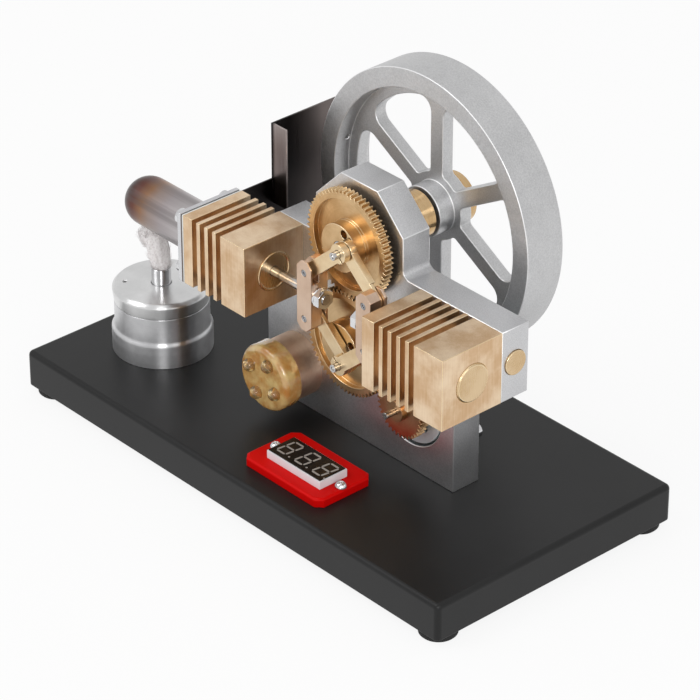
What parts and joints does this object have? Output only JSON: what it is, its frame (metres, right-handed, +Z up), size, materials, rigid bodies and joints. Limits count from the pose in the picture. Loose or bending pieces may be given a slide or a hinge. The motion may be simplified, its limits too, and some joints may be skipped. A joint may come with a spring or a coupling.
{
  "type": "stirling engine",
  "caption": "Tabletop hot-air demonstration engine with finned brass cylinders, rhombic drive, spoked flywheel, geared generator, lamp head, voltmeter and spirit burner on a black base.",
  "frame": {"origin": "under the middle of the base plate, on the plane that the rubber feet stand on", "axes": "+X along the cylinders from the hot cap to the power cylinder, +Y from the voltmeter side to the flywheel side, +Z up"},
  "size_m": [0.18, 0.0906, 0.1225],
  "materials": {
    "base_black": "semi-gloss black coating",
    "foot_rubber": "matte",
    "screw_steel": "satin",
    "bright_screw": "polished",
    "frame_aluminium": "finely bead-blasted",
    "block_brass": "milled",
    "turned_brass": "turned",
    "gasket_white": "matte",
    "flange_steel": "brushed",
    "cap_steel": "polished, slightly heat-tinted",
    "shield_steel": "dark satin",
    "liner_steel": "ground",
    "bearing_steel": "polished",
    "generator_steel": "plated",
    "lamp_metal": "polished",
    "lens_amber": "clear amber",
    "lamp_diode": "clear",
    "display_red": "satin red",
    "meter_white": "satin",
    "meter_black": "glossy",
    "segment_grey": "matte",
    "flywheel_aluminium": "turned",
    "gear_brass": "milled",
    "rod_brass": "satin",
    "yoke_bronze": "milled",
    "pin_steel": "satin",
    "winding_copper": "wound copper wire",
    "displacer_aluminium": "turned",
    "piston_graphite": "ground",
    "burner_steel": "polished",
    "wick_cotton": "woven cotton"
  },
  "bodies": {
    "stand": {"base_plate": "base_black", "rubber_feet": "foot_rubber", "frame_screws": "screw_steel", "frame_plate": "frame_aluminium", "displacer_block": "block_brass", "power_block": "block_brass", "back_screws": "screw_steel", "passage_plug": "turned_brass", "gland_bush": "turned_brass", "flange_gasket": "gasket_white", "cap_flange": "flange_steel", "hot_cap": "cap_steel", "button_screws": "bright_screw", "heat_shield": "shield_steel", "cylinder_liner": "liner_steel", "cylinder_plug": "turned_brass", "bearing_housing": "turned_brass", "ball_bearings": "bearing_steel", "generator_can": "generator_steel", "generator_flange": "generator_steel", "lamp_body": "lamp_metal", "lamp_lens": "lens_amber", "lamp_leds": "lamp_diode", "display_plate": "display_red", "display_body": "meter_white", "display_face": "meter_black", "display_segments": "segment_grey", "display_screws": "bright_screw"},
    "crank": {"main_shaft": "liner_steel", "upper_gear": "gear_brass", "upper_crank_disc": "gear_brass", "flywheel": "flywheel_aluminium", "flywheel_collar": "turned_brass"},
    "lower_crank": {"lower_shaft": "liner_steel", "lower_gear": "gear_brass", "lower_crank_disc": "gear_brass", "lower_collar": "turned_brass"},
    "generator_rotor": {"generator_shaft": "liner_steel", "generator_gear": "gear_brass", "generator_armature": "winding_copper"},
    "displacer_train": {"displacer": "displacer_aluminium", "displacer_rod": "liner_steel", "displacer_yoke": "yoke_bronze", "displacer_nut": "bright_screw", "displacer_pivots": "pin_steel"},
    "piston_train": {"piston": "piston_graphite", "piston_rod": "liner_steel", "piston_yoke": "yoke_bronze", "piston_nut": "bright_screw", "piston_pivots": "pin_steel"},
    "displacer_upper_link": {"displacer_upper_rod": "rod_brass", "upper_crank_pin": "pin_steel"},
    "displacer_lower_link": {"displacer_lower_rod": "rod_brass"},
    "piston_upper_link": {"piston_upper_rod": "rod_brass"},
    "piston_lower_link": {"piston_lower_rod": "rod_brass", "lower_crank_pin": "pin_steel"},
    "burner": {"burner_body": "burner_steel", "burner_lid": "burner_steel", "wick_tube": "burner_steel", "wick": "wick_cotton"}
  },
  "joints": [
    {"name": "crank_spin", "type": "hinge", "parent": "stand", "child": "crank", "pos_m": [0.0125, 0, 0.0795], "axis": [0, 1, 0], "continuous": true},
    {"name": "lower_crank_spin", "type": "hinge", "parent": "stand", "child": "lower_crank", "pos_m": [0.0125, 0, 0.0475], "axis": [0, 1, 0], "continuous": true},
    {"name": "generator_spin", "type": "hinge", "parent": "stand", "child": "generator_rotor", "pos_m": [0.0341, 0, 0.03542], "axis": [0, 1, 0], "continuous": true},
    {"name": "displacer_slide", "type": "slide", "parent": "stand", "child": "displacer_train", "axis": [1, 0, 0], "range_m": [-0.01275, 0.00075]},
    {"name": "displacer_upper_swing", "type": "hinge", "parent": "displacer_train", "child": "displacer_upper_link", "pos_m": [0.00527, -0.0155, 0.0709], "axis": [0, 1, 0], "range_deg": [-2, 20.5]},
    {"name": "displacer_lower_swing", "type": "hinge", "parent": "displacer_train", "child": "displacer_lower_link", "pos_m": [0.00527, -0.0135, 0.0561], "axis": [0, 1, 0], "range_deg": [-20.5, 2]},
    {"name": "piston_slide", "type": "slide", "parent": "stand", "child": "piston_train", "axis": [1, 0, 0], "range_m": [-0.0109, 0.00255]},
    {"name": "piston_upper_swing", "type": "hinge", "parent": "piston_train", "child": "piston_upper_link", "pos_m": [0.02993, -0.0135, 0.0709], "axis": [0, 1, 0], "range_deg": [-3.5, 12.5]},
    {"name": "piston_lower_swing", "type": "hinge", "parent": "piston_train", "child": "piston_lower_link", "pos_m": [0.02993, -0.0155, 0.0561], "axis": [0, 1, 0], "range_deg": [-12.5, 3.5]},
    {"name": "burner_slide", "type": "slide", "parent": "stand", "child": "burner", "axis": [0, -1, 0], "range_m": [0, 0.017]}
  ],
  "couplings": [
    {"joint": "lower_crank_spin", "follows": "crank_spin", "ratio": -1},
    {"joint": "generator_spin", "follows": "crank_spin", "ratio": 1.8286},
    {"joint": "displacer_upper_swing", "follows": "displacer_slide", "rad_per_m": -27.1},
    {"joint": "displacer_lower_swing", "follows": "displacer_slide", "rad_per_m": 27.1},
    {"joint": "piston_upper_swing", "follows": "piston_slide", "rad_per_m": -18.7},
    {"joint": "piston_lower_swing", "follows": "piston_slide", "rad_per_m": 18.7}
  ]
}
